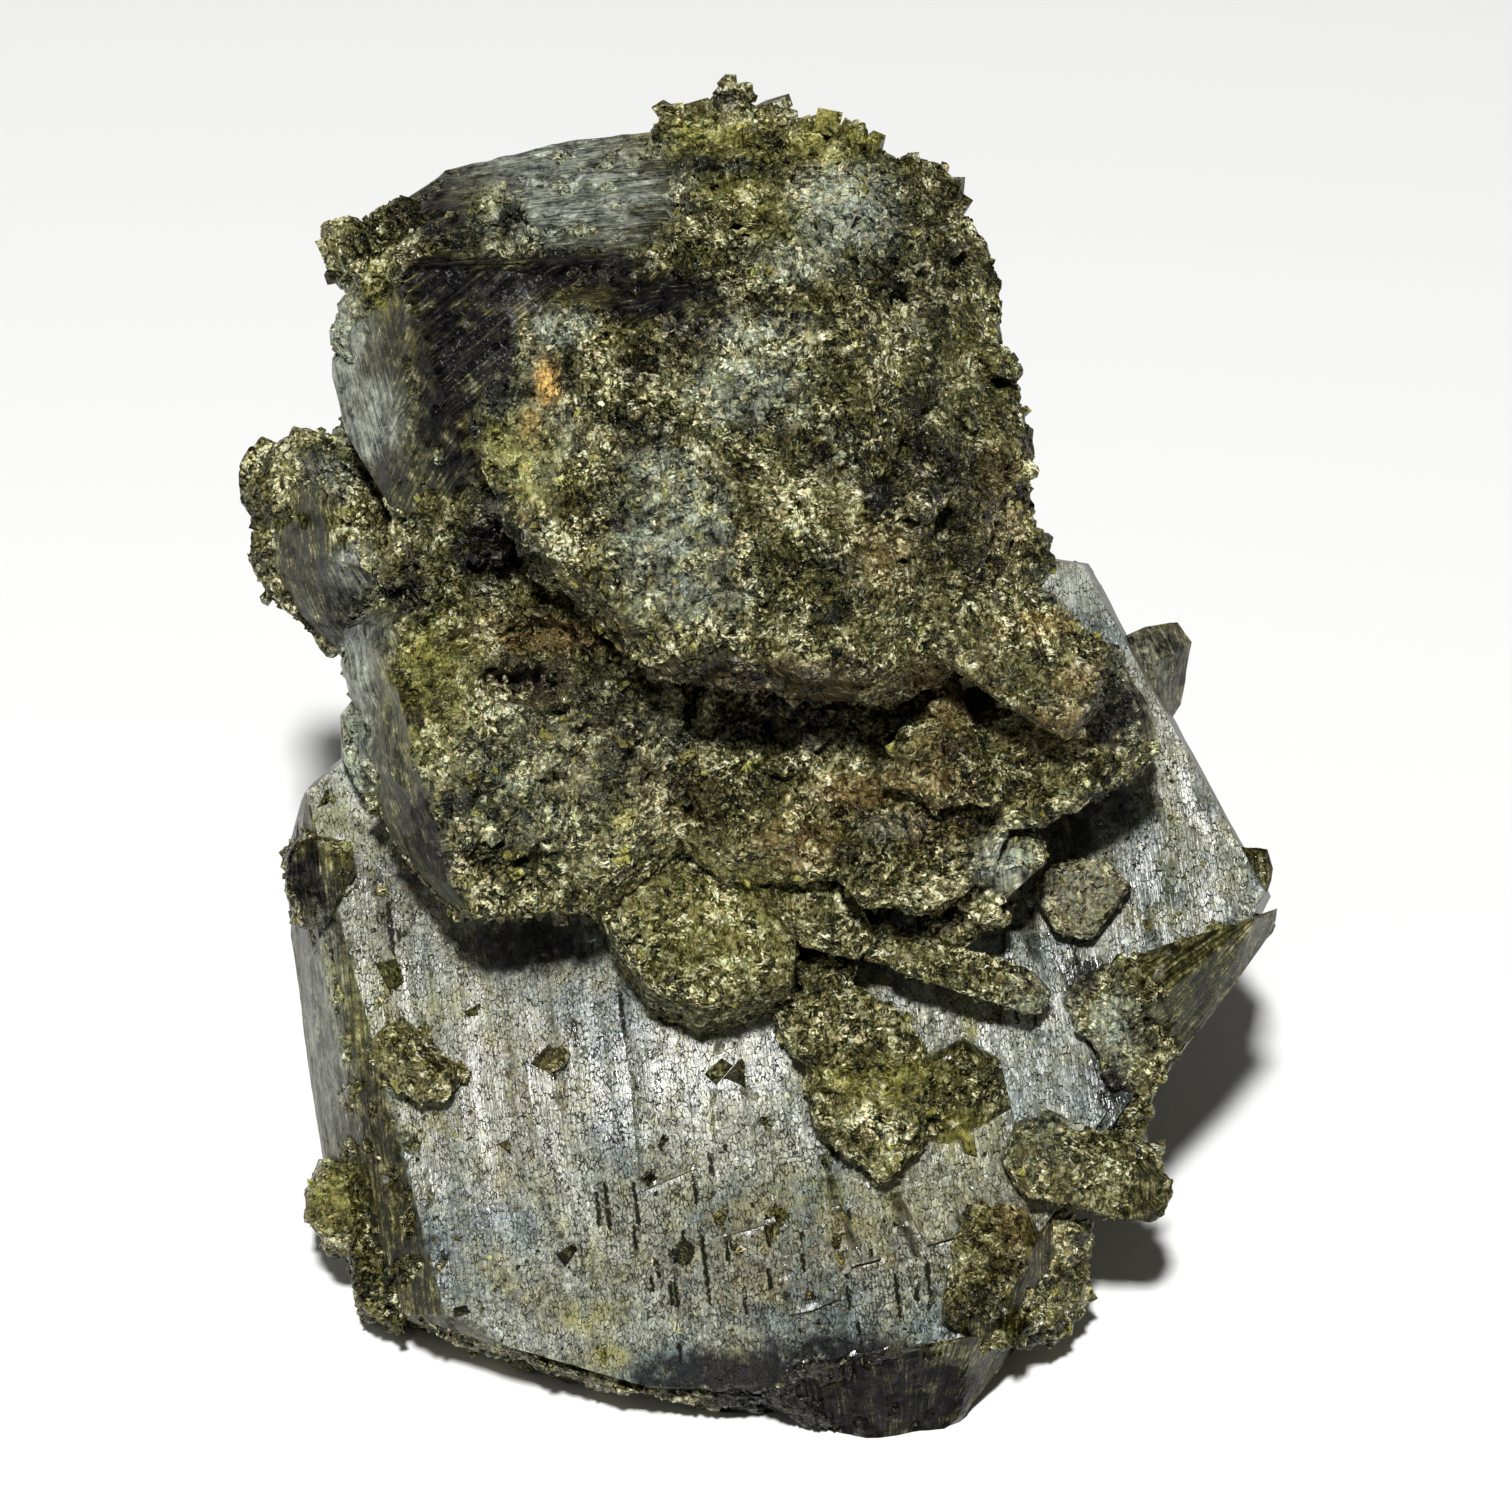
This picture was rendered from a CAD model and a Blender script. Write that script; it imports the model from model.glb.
"""Epidote crystal cluster, dressed for its picture.

Stout dark green crystals grown through each other. A broad tabular crystal with a silvery striated
face carries a blocky crown, a smaller block and a spray of short prisms, all under a sugary crust of
tiny epidote crystals.
"""

import math

import bmesh
import bpy
import numpy as np
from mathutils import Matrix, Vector, kdtree, noise


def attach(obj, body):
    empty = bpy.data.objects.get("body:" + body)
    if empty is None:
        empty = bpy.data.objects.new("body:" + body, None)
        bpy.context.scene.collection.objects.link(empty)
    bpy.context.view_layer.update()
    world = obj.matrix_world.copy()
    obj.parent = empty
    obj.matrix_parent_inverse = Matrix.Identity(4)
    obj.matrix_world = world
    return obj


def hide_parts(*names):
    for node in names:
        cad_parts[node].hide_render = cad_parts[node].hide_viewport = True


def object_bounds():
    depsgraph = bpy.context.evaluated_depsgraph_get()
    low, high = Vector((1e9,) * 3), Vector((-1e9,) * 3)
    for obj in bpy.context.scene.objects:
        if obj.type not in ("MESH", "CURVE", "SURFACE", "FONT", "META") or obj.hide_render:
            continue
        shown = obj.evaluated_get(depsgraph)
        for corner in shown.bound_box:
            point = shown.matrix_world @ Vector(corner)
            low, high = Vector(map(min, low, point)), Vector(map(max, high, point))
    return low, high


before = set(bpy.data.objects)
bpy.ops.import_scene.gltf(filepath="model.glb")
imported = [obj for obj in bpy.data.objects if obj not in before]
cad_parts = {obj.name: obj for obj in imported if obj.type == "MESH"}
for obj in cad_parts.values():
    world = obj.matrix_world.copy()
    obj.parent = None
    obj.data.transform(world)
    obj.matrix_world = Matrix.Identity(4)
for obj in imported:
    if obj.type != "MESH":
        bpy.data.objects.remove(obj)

cad_low, cad_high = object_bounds()

# The crystals. All of them are one piece of epidote, grown through each other, with flat striated
# faces where they grew freely and a lumpy ground where the crust covers them. The stone is refined
# from the cluster's own solid: its crusted ground lies a little below it, and its faces keep their place.

MM = 0.001
LOOK_DOWN = math.radians(35)
EYE = 400  # mm from the middle of the view to the eye
MIDDLE = np.array([0.0174, -1.8864, 34])  # the middle of the view from the middle of the foot, in mm
SIN, COS = math.sin(LOOK_DOWN), math.cos(LOOK_DOWN)


def as_seen(points):
    """Places in metres, as the eye sees them face on: across, up and out towards it, in mm."""
    x, y, z = (np.asarray(points, float) / MM - MIDDLE).T
    out = -y * COS + z * SIN
    near = 1 - out / EYE
    return np.stack([x / near, (y * SIN + z * COS) / near, out], 1)


def turned_to_eye(normals):
    """Directions, along the same three ways."""
    x, y, z = np.asarray(normals, float).T
    return np.stack([x, y * SIN + z * COS, -y * COS + z * SIN], 1)


def unit(ways):
    """These ways with a length of 1, or of 0 where they have none."""
    return ways / np.maximum(np.linalg.norm(ways, axis=1, keepdims=True), 1e-9)


def within(points, outline):
    """Which of the points, seen face on, lie inside a closed outline."""
    across, up = points[:, 0], points[:, 1]
    inside = np.zeros(len(points), bool)
    for (x0, y0), (x1, y1) in zip(outline, outline[1:] + outline[:1]):
        crosses = (y0 > up) != (y1 > up)
        inside ^= crosses & (across < x0 + (up - y0) * (x1 - x0) / (y1 - y0 + 1e-9))
    return inside


def swell(points, size, seed=0):
    """Smooth noise from -1 to 1 with lumps of that size, both in mm."""
    scaled = np.asarray(points, float) / size + seed
    return np.array([noise.noise(Vector(p)) for p in scaled])


BROAD_OUT, BROAD_MIDDLE, BROAD_SLOPE = 4, -20, -0.2  # how far out the broad face lies, and where
BROAD_NEAR = 1  # what lies this close to its plane and faces the same way belongs to it
CRYSTAL_FACE = 12e-6  # square metres: a flat face larger than this grew freely
SAME_PLANE = math.cos(math.radians(0.7))
COVERED = [  # crystals whose faces are under the crust all the same
    [(-12, -5), (2, -5), (9, -11), (20, -11), (20, -18), (10, -20), (2, -19), (-12, -16)],
    [(15, -24), (27, -26), (28, -31), (15, -30)],
    [(8, 13), (24, 6), (24, 0), (8, 6)],
]

shell = bmesh.new()
shell.from_mesh(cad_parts["epidote_cluster"].data)
bmesh.ops.remove_doubles(shell, verts=shell.verts, dist=0.002 * MM)
bmesh.ops.recalc_face_normals(shell, faces=shell.faces)

# Triangles in one plane are one crystal face.
facet_layer = shell.faces.layers.int.new("facet")
facets = []
for face in shell.faces:
    face[facet_layer] = -1
for face in shell.faces:
    if face[facet_layer] >= 0:
        continue
    number, reached, area, middle = len(facets), [face], 0, Vector()
    face[facet_layer] = number
    while reached:
        one = reached.pop()
        area += one.calc_area()
        middle += one.calc_center_median() * one.calc_area()
        for edge in one.edges:
            for other in edge.link_faces:
                if other[facet_layer] < 0 and other.normal.dot(face.normal) > SAME_PLANE:
                    other[facet_layer] = number
                    reached.append(other)
    facets.append((area, *(middle / max(area, 1e-12)), *face.normal))
facets = np.array(facets)
facet_area, facet_middle, facet_normal = facets[:, 0], facets[:, 1:4], facets[:, 4:7]
facet_seen, facet_turned = as_seen(facet_middle), turned_to_eye(facet_normal)
broad_turned = np.array([0, -BROAD_SLOPE, 1]) / math.hypot(1, BROAD_SLOPE)
broad_off = facet_seen[:, 2] - (BROAD_OUT + BROAD_SLOPE * (facet_seen[:, 1] - BROAD_MIDDLE))
is_broad = (facet_turned @ broad_turned > 0.985) & (np.abs(broad_off) < BROAD_NEAR)
is_foot = facet_normal[:, 2] < -0.999
is_front = facet_turned[:, 2] > 0.05
is_clean = (facet_area > CRYSTAL_FACE) | is_broad | is_foot
is_ledge = (np.abs(broad_off) < BROAD_NEAR) & ~is_broad & (facet_area < CRYSTAL_FACE) & is_front
bareness = (is_clean | is_ledge).astype(float)
can_be_covered = ~is_broad & is_clean & (facet_turned[:, 2] > -0.2)
for outline in COVERED:
    bareness[within(facet_seen, outline) & can_be_covered] = 0
BARED = [  # sides that lie bare though they are uneven, with how far to the left they face at least
    ([(-31, 13), (-25, 13), (-16, -13), (-25, -14)], 0.35),
    ([(23.5, 10.5), (30, 10.5), (30, 3), (25.5, 3)], -2),
    ([(-31, 17), (-27, 17), (-24, 6), (-30, 7)], 0.2),
]
for outline, left_turned in BARED:
    bareness[within(facet_seen, outline) & (facet_turned[:, 0] < -left_turned) & is_front] = 1

# Refining: long edges are halved until each is short enough for the relief at its place.
FINE_BROAD, FINE_FRONT, FINE_BACK, FINE_FOOT = 0.53 * MM, 1.04 * MM, 1.35 * MM, 3 * MM
FIBROUS = [(-23.5, 33.5), (-2, 32), (-2, 28.5), (-15, 29), (-18, 20), (-23, 18)]
FINE_FIBRES = 0.45 * MM  # on the dark faces there, which have ridges along their fibres
FLAT = math.radians(0.5)
limit = np.where(is_front, FINE_FRONT, FINE_BACK)
limit[within(facet_seen, FIBROUS) & is_front & is_clean] = FINE_FIBRES
limit[is_broad] = FINE_BROAD
limit[is_foot] = FINE_FOOT
for _ in range(8):
    edges = shell.edges[:]
    limits = (min(limit[e.link_faces[0][facet_layer]], limit[e.link_faces[-1][facet_layer]]) for e in edges)
    long_edges = [e for e, most in zip(edges, limits) if e.calc_length() > most]
    if not long_edges:
        break
    bmesh.ops.subdivide_edges(shell, edges=long_edges, cuts=1)
    bmesh.ops.triangulate(shell, faces=[f for f in shell.faces if len(f.verts) > 3])
    inner = [e for e in shell.edges if e.calc_face_angle(1) < FLAT]
    bmesh.ops.beautify_fill(shell, faces=shell.faces, edges=inner)

stone_mesh = bpy.data.meshes.new("stone")
shell.to_mesh(stone_mesh)
facet = np.array([face[facet_layer] for face in shell.faces])
shell.free()
stone_mesh.update()


def read(items, name, width, kind=float):
    """A value of every vertex, corner or face as one array."""
    values = np.empty(len(items) * width, kind)
    items.foreach_get(name, values)
    return values.reshape(-1, width)


places = read(stone_mesh.vertices, "co", 3)
normals = read(stone_mesh.vertices, "normal", 3)
corners = read(stone_mesh.loops, "vertex_index", 1, int).reshape(-1, 3)
count = len(places)


def at_vertices(values):
    """A value of each face, averaged where faces meet."""
    total = np.bincount(corners.ravel(), np.repeat(values, 3), count)
    return total / np.bincount(corners.ravel(), minlength=count)


broad = at_vertices(is_broad[facet])
foot = at_vertices(is_foot[facet])

# The crust's rim is ragged: it creeps past the edges of the bare faces and stops short of others.
CREEP, RIM = 12, ((1.5, 0.5), (0.7, 0.3))  # steps outwards, and the lumps of the rim's noise in mm
RIM_AT, RIM_SHARP = 0.5, 5
FORWARD, BAREST = 0.3, -0.7  # all but the barest places keep to the sides turned forward
OVERGROWN = [  # where it has crept further over the faces, and where it has left them bare, below 0
    ([(-24, 42), (-6, 42), (-10, 32), (-28, 32)], 0.3),
    ([(-28, 33), (-20, 33), (-14, 22), (-24, 12), (-29, 20)], 0.16),
    ([(-4, -41), (12, -41), (12, -46), (-4, -46)], 0.1),
    ([(-23, 33), (-9, 33.6), (-2, 31), (-3, 28.6), (-9, 28.6), (-16, 29.8), (-23, 30)], -0.7),
    ([(-8, 6.8), (-2, 7.2), (4, 6), (8.5, 4.8), (8.5, 3.2), (3, 3.4), (-3, 4.4), (-8, 5)], -0.6),
    ([(14.5, -5.3), (18.5, -5.3), (18.2, -9.2), (14.2, -9.2)], -0.5),
    ([(-27.8, -22), (-23.6, -21), (-20.6, -34), (-27, -36)], 0.35),
    ([(23.5, 10.5), (31, 10.5), (31, 1), (26, 1)], -0.8),
    ([(-34.5, 19), (-27.5, 19.5), (-25.5, 8), (-33, 8)], -0.22),
]
in_mm = places / MM
seen = as_seen(places)
ends = np.unique(np.sort(corners[:, [0, 1, 1, 2, 2, 0]].reshape(-1, 2), axis=1), axis=0)
degree = np.bincount(ends.ravel(), minlength=count)
# A few points among slivers face no way of their own, so they take that of the points round them.
for _ in range(3):
    around = sum(
        np.stack([np.bincount(ends[:, one], normals[ends[:, 1 - one], axis], count) for axis in range(3)], 1)
        for one in (0, 1)
    )
    lost = np.linalg.norm(normals, axis=1) < 0.5
    normals[lost] = unit(around[lost])
crusted = at_vertices(1 - bareness[facet])
for _ in range(CREEP):
    near = sum(np.bincount(ends[:, one], crusted[ends[:, 1 - one]], count) for one in (0, 1))
    crusted = (crusted + near / degree) / 2
for outline, more in OVERGROWN:
    crusted[within(seen, outline) & ((normals[:, 1] < FORWARD) | (more < BAREST))] += more
crusted += sum(rise * swell(in_mm, size, 3) for size, rise in RIM)
crusted -= 2 * foot
bare = np.clip((RIM_AT - crusted) * RIM_SHARP + 0.5, 0, 1)

# Each crystal face is striated along its growth: down the cluster unless it lies in a place named here.
GROWTH_DOWN = (0.12, -1)
GROWTH_BY_PLACE = [
    ([(-29, 10), (-24, 10), (-18, -11), (-24, -11)], (0.37, -0.93)),
    ([(-29, 33), (-24, 33), (-18, 18), (-29, 16)], (0.42, -0.9)),
    ([(-24, 34), (-1, 34), (-1, 16), (-24, 16)], (0.8, 0.6)),
    ([(-24, 42), (-4, 42), (-4, 34), (-24, 34)], (0.97, 0.2)),
    ([(20, -12), (35, -9), (35, -12), (26, -24), (20, -24)], (0.8, 0.55)),
]
growth = np.tile(GROWTH_DOWN, (len(facets), 1))
for outline, way in GROWTH_BY_PLACE:
    growth[within(facet_seen, outline) & ~is_broad] = way
along = np.stack([growth[:, 0], growth[:, 1] * SIN, growth[:, 1] * COS], 1)
along -= facet_normal * (along * facet_normal).sum(1, keepdims=True)
weak = np.linalg.norm(along, axis=1) < 0.2
along[weak] = np.cross(facet_normal[weak], (1, 0, 0))
along = unit(along)
across = np.cross(facet_normal, along)

corner_places = places[corners.ravel()] / MM
corner_facets = np.repeat(facet, 3)
growth_map = np.stack([
    (corner_places * across[corner_facets]).sum(1),
    (corner_places * along[corner_facets]).sum(1),
], 1)
grown = np.zeros((count, 2))
grown[corners.ravel()] = growth_map

# The crusted ground is lumpy and lies deep, so that the crust on it comes up to the solid. The bare
# faces have striae, low growth steps across them, and grooves and cracks in the broad one.
DEEP = 0.55
LUMPS = ((3.6, 0.6), (1.3, 0.45))
PIT_SIZE, PIT_LEVEL, PIT_MOST, PIT_DEEP = 2.1, 0.12, 0.45, 1.7
STRAY, STRAY_SIZE = 0.5, 1.6  # how far a hollow's rim strays, in its own widths, and over how many mm
SHALLOW = 0.3  # how high the lumps are under a thin even crust
HOLLOWED_FROM = -12  # hollows lie only in what is further out than this, in mm
HOLLOWS = [  # across, up, half width, half height and depth, in mm
    (-15, 4.9, 2.8, 1.3, 2.6), (-14, 2.5, 1.7, 0.5, 1.5), (-14, 8, 4.6, 1, 1.6), (-20, -3, 2.7, 0.9, 1.4),
    (-22.5, -4.2, 1.4, 0.9, 1.2), (-13.5, -1.8, 1.2, 0.6, 1.1), (-7, -1.5, 0.9, 1.4, 1.2),
    (-16.5, -7.5, 3, 0.5, 1), (-23.3, 3.9, 0.9, 0.8, 1.1), (-19.5, 7.5, 1, 0.9, 1), (-11, 1.4, 1, 0.5, 1),
    (7.5, 33, 1, 0.8, 0.9), (-6, 36.5, 1.2, 0.7, 0.9), (3, 14.5, 1, 0.7, 0.8), (-8, 17.5, 1.6, 0.6, 0.7),
    (0.5, 10, 1.4, 0.6, 0.8), (-11.5, 7, 0.9, 1.2, 1), (-17.5, 13.6, 3, 2.2, 1.7), (-23, 11, 1.6, 2, 1.2),
    (8.5, 17.3, 1.8, 1.2, 0.9), (6, 12.5, 1.3, 3, 0.8), (-4, -4.5, 0.7, 2, 1), (2.5, -8, 1.6, 1.6, 1),
    (3, -12.2, 2.5, 0.7, 0.8), (10.8, 28, 0.7, 3.5, 0.5), (-9.5, -7, 2, 0.6, 0.7),
    (-18, -6.2, 2.2, 0.7, 0.7), (12, 5, 1.6, 1.2, 1), (-1, 33, 2.6, 0.8, 0.8), (-16.6, 35.5, 0.8, 2, 0.9),
    (12.5, 15, 1, 2.5, 0.7), (5, -16.5, 1.6, 0.8, 0.8),
]
GROOVES = [  # lines of places, half width and depth
    ([(2.6, 18.8), (4.6, 19.7), (6.6, 22.6)], 0.55, 1),
    ([(-15.6, 29.6), (-17.4, 25.6), (-18.9, 21.4)], 0.6, 1.1),
    ([(-8.6, 31.4), (-6.4, 30.5), (-3.4, 29.6)], 0.6, 0.9), ([(-2.7, 18), (-2.9, 13)], 0.4, 0.7),
    ([(-12, 24.5), (-13.4, 21.6), (-14.6, 18.4)], 0.4, 0.6),
    ([(-3.5, 28.6), (0.5, 26), (1.4, 21)], 0.35, 0.5), ([(-8, 38.6), (-3.6, 39.6), (-1, 39)], 0.45, 0.8),
    ([(8.8, 37.5), (9.6, 31), (8.9, 25)], 0.4, 0.6),
]
CALM = [  # crystals under a thin even crust, so that their own edges show
    [(-12, -5), (2, -5), (9, -11), (20, -11), (20, -18), (9, -19), (-4, -19), (-12, -16)],
    [(8, 13), (12, 13), (24, 2), (20, -3), (8, 8)], [(15, -24), (27, -26), (28, -31), (15, -30)],
    [(16, -4), (26, -5), (26, -12.5), (17, -12.5)], [(-33, 0), (-19, 0), (-19, -16), (-33, -40)],
]
STRIA, STRIA_RISE = (0.8, 9), 0.035
STEP, STEP_RISE = (2.6, 5), 0.1
RIDGES = (((1, 5), 0.45), ((0.45, 2.4), 0.22))  # how wide and long they are, and how high
BOTTOM = [(-4, -36), (14, -36), (14, -46), (-4, -46)]
CRACKS = [
    [(5, -28.3), (5.9, -31), (7, -33.3)], [(9.3, -29.3), (10, -31.5), (10.7, -33.2)],
    [(17.7, -11.3), (18.7, -13.4), (18.3, -10)], [(4, -19), (4.6, -23), (5.4, -26.5)],
]
CRACK_HALF, CRACK_DEEP = 0.32, 0.45


def near_line(line, half):
    """1 on a line of places seen face on, falling to 0 at half its width away."""
    near = np.zeros(count)
    for start, end in zip(np.array(line), np.array(line[1:])):
        way = end - start
        share = np.clip((seen[:, :2] - start) @ way / (way @ way), 0, 1)
        gap = np.linalg.norm(seen[:, :2] - start - share[:, None] * way, axis=1)
        near = np.maximum(near, np.clip(1 - gap / half, 0, 1))
    return near


lumps = sum(rise * swell(in_mm, size, size) for size, rise in LUMPS)
pits = PIT_DEEP * np.clip(swell(in_mm, PIT_SIZE, 11) - PIT_LEVEL, 0, PIT_MOST)
strayed = STRAY * swell(in_mm, STRAY_SIZE, 17)
sunk = np.zeros(count)
for u, v, half_wide, half_high, depth in HOLLOWS:
    far = np.hypot((seen[:, 0] - u) / half_wide, (seen[:, 1] - v) / half_high) + strayed
    sunk = np.maximum(sunk, depth * np.clip(2 * (1.1 - far), 0, 1))
for line, half, depth in GROOVES:
    middle_of_it = np.clip(2 * near_line(line, half) + strayed, 0, 1)
    sunk = np.maximum(sunk, depth * middle_of_it * near_line(line, 2 * half))
sunk *= np.clip(turned_to_eye(normals)[:, 2] * 4, 0, 1) * (seen[:, 2] > HOLLOWED_FROM)
calm = np.zeros(count)
for outline in CALM:
    calm[within(seen, outline)] = 1
lumps = np.where(calm > 0, SHALLOW * lumps, lumps - pits - sunk)
striae = STRIA_RISE * swell(np.c_[grown / STRIA, np.zeros(count)], 1)
steps = np.clip(4 * swell(np.c_[grown / STEP, np.full(count, 5)], 1), -1, 1) * STEP_RISE / 2
crack = np.zeros(count)
for line in CRACKS:
    crack = np.maximum(crack, near_line(line, CRACK_HALF))
crack *= broad
ledge = at_vertices(is_ledge[facet])
ridges = sum(rise * swell(np.c_[grown / size, np.zeros(count)], 3) for size, rise in RIDGES)
fibrous = (within(seen, FIBROUS) | within(seen, BOTTOM)) * (1 - broad) * (turned_to_eye(normals)[:, 2] > 0)
skin = places
rise = (1 - bare) * (lumps - DEEP) + bare * (striae + steps - CRACK_DEEP * crack + fibrous * ridges)


def kept_inside(points):
    """Points held inside the solid's own box, and above the table."""
    return np.clip(points, cad_low, cad_high)


places = kept_inside(skin + normals * (rise * (1 - foot) * MM)[:, None])
stone_mesh.vertices.foreach_set("co", places.ravel())
stone_mesh.uv_layers.new(name="growth").data.foreach_set("uv", growth_map.astype(np.float32).ravel())
stone_mesh.update()

# Colours by place. Each stain is (across, up, half width, half height, strength), in mm.
STAINS = {
    "rust": [
        (11.5, 5.2, 1.7, 1.3, 1), (13.5, 3.4, 2.5, 1.8, 1), (7.5, -2.3, 4.5, 1.3, 0.9),
        (3, -5.8, 2.6, 1.7, 1), (12, 0.6, 1.5, 0.9, 1), (11.5, -3, 4, 3.2, 0.5), (-14, 8, 4.5, 1.3, 0.9),
        (-15, 4.8, 2.6, 1.2, 0.9), (8.5, 13.5, 2.6, 2.2, 0.6), (16.5, 17, 1.8, 4, 0.6),
        (-5.5, -2.5, 3, 2.5, 0.35), (21.8, 5, 2.2, 1.2, 0.7), (27, 5.5, 2.8, 3.8, 0.4),
        (-25.8, 26.3, 0.8, 0.9, 0.5), (17.5, -31, 3, 3, 0.4), (-22.3, -8.6, 1.6, 0.6, 0.6),
        (20, 1.5, 3.6, 2.2, 0.5), (1, 4.6, 8.5, 2, 0.5), (22, -9.5, 3.5, 2.6, 0.4), (-11, 1, 4, 4, 0.2),
        (-17, -22, 5, 6, 0.3), (2, -33, 9, 4, 0.3),
    ],
    "ochre": [(-13.9, 24.8, 0.9, 1.4, 1), (18.5, 8.8, 2.5, 0.9, 0.15), (-15, 22, 1, 1.4, 0.25)],
    "lime": [
        (-16, 20.8, 2.8, 2.8, 1), (-15.8, 17.8, 2.4, 1.4, 0.6), (13.8, -25.7, 1.7, 1.7, 0.9),
        (-28.3, -29.7, 1.8, 2.4, 0.6), (-24.6, 31, 1.6, 1.7, 0.8), (-18.4, 37, 1.5, 1.2, 0.7),
        (-12, 30.9, 2.4, 0.6, 0.9), (-22.4, 27.4, 1.2, 1.1, 0.7), (-4, 41.2, 5, 1.7, 0.8),
        (5, 40.8, 3.2, 1.5, 0.8), (-1.5, 38, 2.6, 1.2, 0.5), (1, 35.5, 2.5, 1.6, 0.4), (-22, 5, 3, 5, 0.55),
        (-22.5, 8.8, 2.2, 1.6, 0.6), (-9, -4.2, 1, 0.7, 1), (14.3, -18, 0.7, 0.9, 0.9),
        (8, -21.5, 5, 1.7, 0.6), (14.5, 25, 2.5, 5, 0.3), (-11.5, -37.5, 2, 1.2, 0.6),
        (29, -6.5, 3.5, 3, 0.3), (5, -30, 12, 3, 0.3), (26.5, -10.5, 3, 1, 0.4), (-3, -11, 5, 4, 0.3),
        (-12.6, 18.6, 0.8, 1.2, 0.7), (-26, -15.5, 3, 4, 0.4), (-28, -5, 1.6, 2.4, 0.5),
        (-20.5, -16.5, 3, 1.6, 0.3), (-9.6, -40, 1.2, 0.9, 0.9),
    ],
    "pale": [
        (-13, 38, 6.8, 3.8, 1.3), (-8.5, 40.6, 3.5, 1.3, 1), (5.8, 36.2, 3.2, 3.2, 1.3),
        (3, 33.2, 3.5, 1.6, 0.6), (-0.5, 24.5, 3.6, 2.5, 0.8), (0.5, 28, 3.4, 1.7, 0.6),
        (-6.5, 19.3, 2.6, 1.3, 0.8), (-5.5, 15, 3.6, 4.4, 0.8), (-4.5, 10.5, 3.8, 1.7, 0.6),
        (-27.5, 26.5, 1.7, 4.2, 1.3), (-25.8, 22.5, 2, 2.9, 1.2), (-26.8, 4, 1.4, 7.2, 1.3),
        (-27, 12.5, 1.6, 1.8, 0.9), (-28.5, 19, 1.8, 1.6, 0.5), (16.4, -7, 2, 1.9, 1),
        (-13, 28.6, 1.9, 1.1, 0.9), (22.5, 11.5, 3, 2, 0.8), (24, -18.2, 1.7, 2.4, 0.8),
        (-25, 8, 1.4, 1.6, 0.5), (22, -9.5, 3.5, 2.8, 0.6), (9, -4.6, 2.4, 1, 0.4), (-15, 22, 2.6, 4.5, 0.7),
        (-14, -1, 8, 6, 0.25), (19.3, -19, 2.8, 7, 0.4), (-29, -18, 1.6, 8, 0.8), (27, 5.5, 3, 4, 0.7),
    ],
    "dark": [
        (-19.5, 31.5, 4.6, 1.7, 2.5), (-12.5, 32.1, 5, 1.5, 2.5), (-6, 30.6, 4, 1.6, 2),
        (-4, 29, 2.5, 1.3, 1.1), (-19.8, 27.5, 2.7, 3.6, 2.5), (-20.3, 23, 2, 2.9, 1.8),
        (-20, 19.3, 1.4, 1.4, 2.5), (-17.3, 26.5, 1, 3.3, 2.2), (-20.5, 36, 2.8, 2.8, 0.9),
        (-16.4, 36, 0.9, 2.2, 1), (-2.3, 43.2, 1.5, 1.2, 0.7), (-3.5, 39.3, 3.5, 0.9, 0.8),
        (-17.5, 13.8, 2.9, 2.5, 1.1), (-23, 10.5, 1.7, 2, 1), (-28, 9.6, 1.8, 1.9, 1.4),
        (8.5, 17.3, 1.7, 1.3, 0.9), (4.5, 21, 2.3, 2.1, 0.6), (5.5, 12.5, 1.8, 2.6, 0.7),
        (-2.6, 13.5, 1, 1.7, 0.6), (-8, 21.5, 3.5, 1.4, 0.6), (-7.5, 26, 3, 2, 0.4), (2, 2.2, 6.5, 1.9, 0.9),
        (-6, 2, 2.6, 3, 0.5), (-15, 4.9, 2.5, 1.2, 1.1), (-20.5, -3, 2.6, 0.9, 0.7),
        (-21.8, -6, 1.8, 3.8, 0.9), (24.2, 2.6, 2.1, 2.1, 1.5), (23.5, -3.3, 2.3, 1.3, 1),
        (21, -5, 2, 1.4, 1.2), (22, -14.5, 2, 1.3, 1), (24, -22.5, 1.3, 2.6, 0.9), (27, -5, 3.5, 7, 0.2),
        (-25.5, -10, 4, 5, 0.3), (5.5, -42.5, 7.5, 3, 3.5), (-3.6, -41.2, 4, 1.3, 2.5),
        (-30.2, -8, 1.4, 3, 1.2), (12.5, 20, 4, 9, 0.5), (11, 32, 3, 6, 0.4), (-15.5, -12.6, 5.2, 1.8, 1.3),
        (-17.5, 17, 1.5, 1.2, 0.8), (6, 19, 2, 1.2, 0.5), (0, 5.2, 8.5, 1.4, 0.6),
    ],
    "slotted": [
        (-2, -33, 9, 6, 0.9), (8, -35, 6, 4, 0.9), (-10, -26, 5, 9, 0.35), (3, -27, 3, 4, 0.6),
        (18, -13, 3, 5, 0.5), (-25, -20, 3, 8, 0.3),
    ],
}
RAGGED = ((1.4, 1.1), (0.5, 1.2))  # over what distance a stain's strength strays, and how much


def stains_at(points):
    """How strongly each kind of stain shows at these places, from 0 to 1."""
    spots = as_seen(points)
    facing = np.clip((spots[:, 2] + 12) / 8, 0, 1)  # none on what lies far back
    ragged = sum(most * swell(np.asarray(points) / MM, size, 7) for size, most in RAGGED)
    made = {}
    for kind, blots in STAINS.items():
        total = np.zeros(len(spots))
        for u, v, half_wide, half_high, strength in blots:
            far = ((spots[:, 0] - u) / half_wide) ** 2 + ((spots[:, 1] - v) / half_high) ** 2
            total = np.maximum(total, strength * np.exp(-far ** 1.5) * (1 + ragged))
        made[kind] = np.clip(total * facing, 0, 1)
    return made


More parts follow.
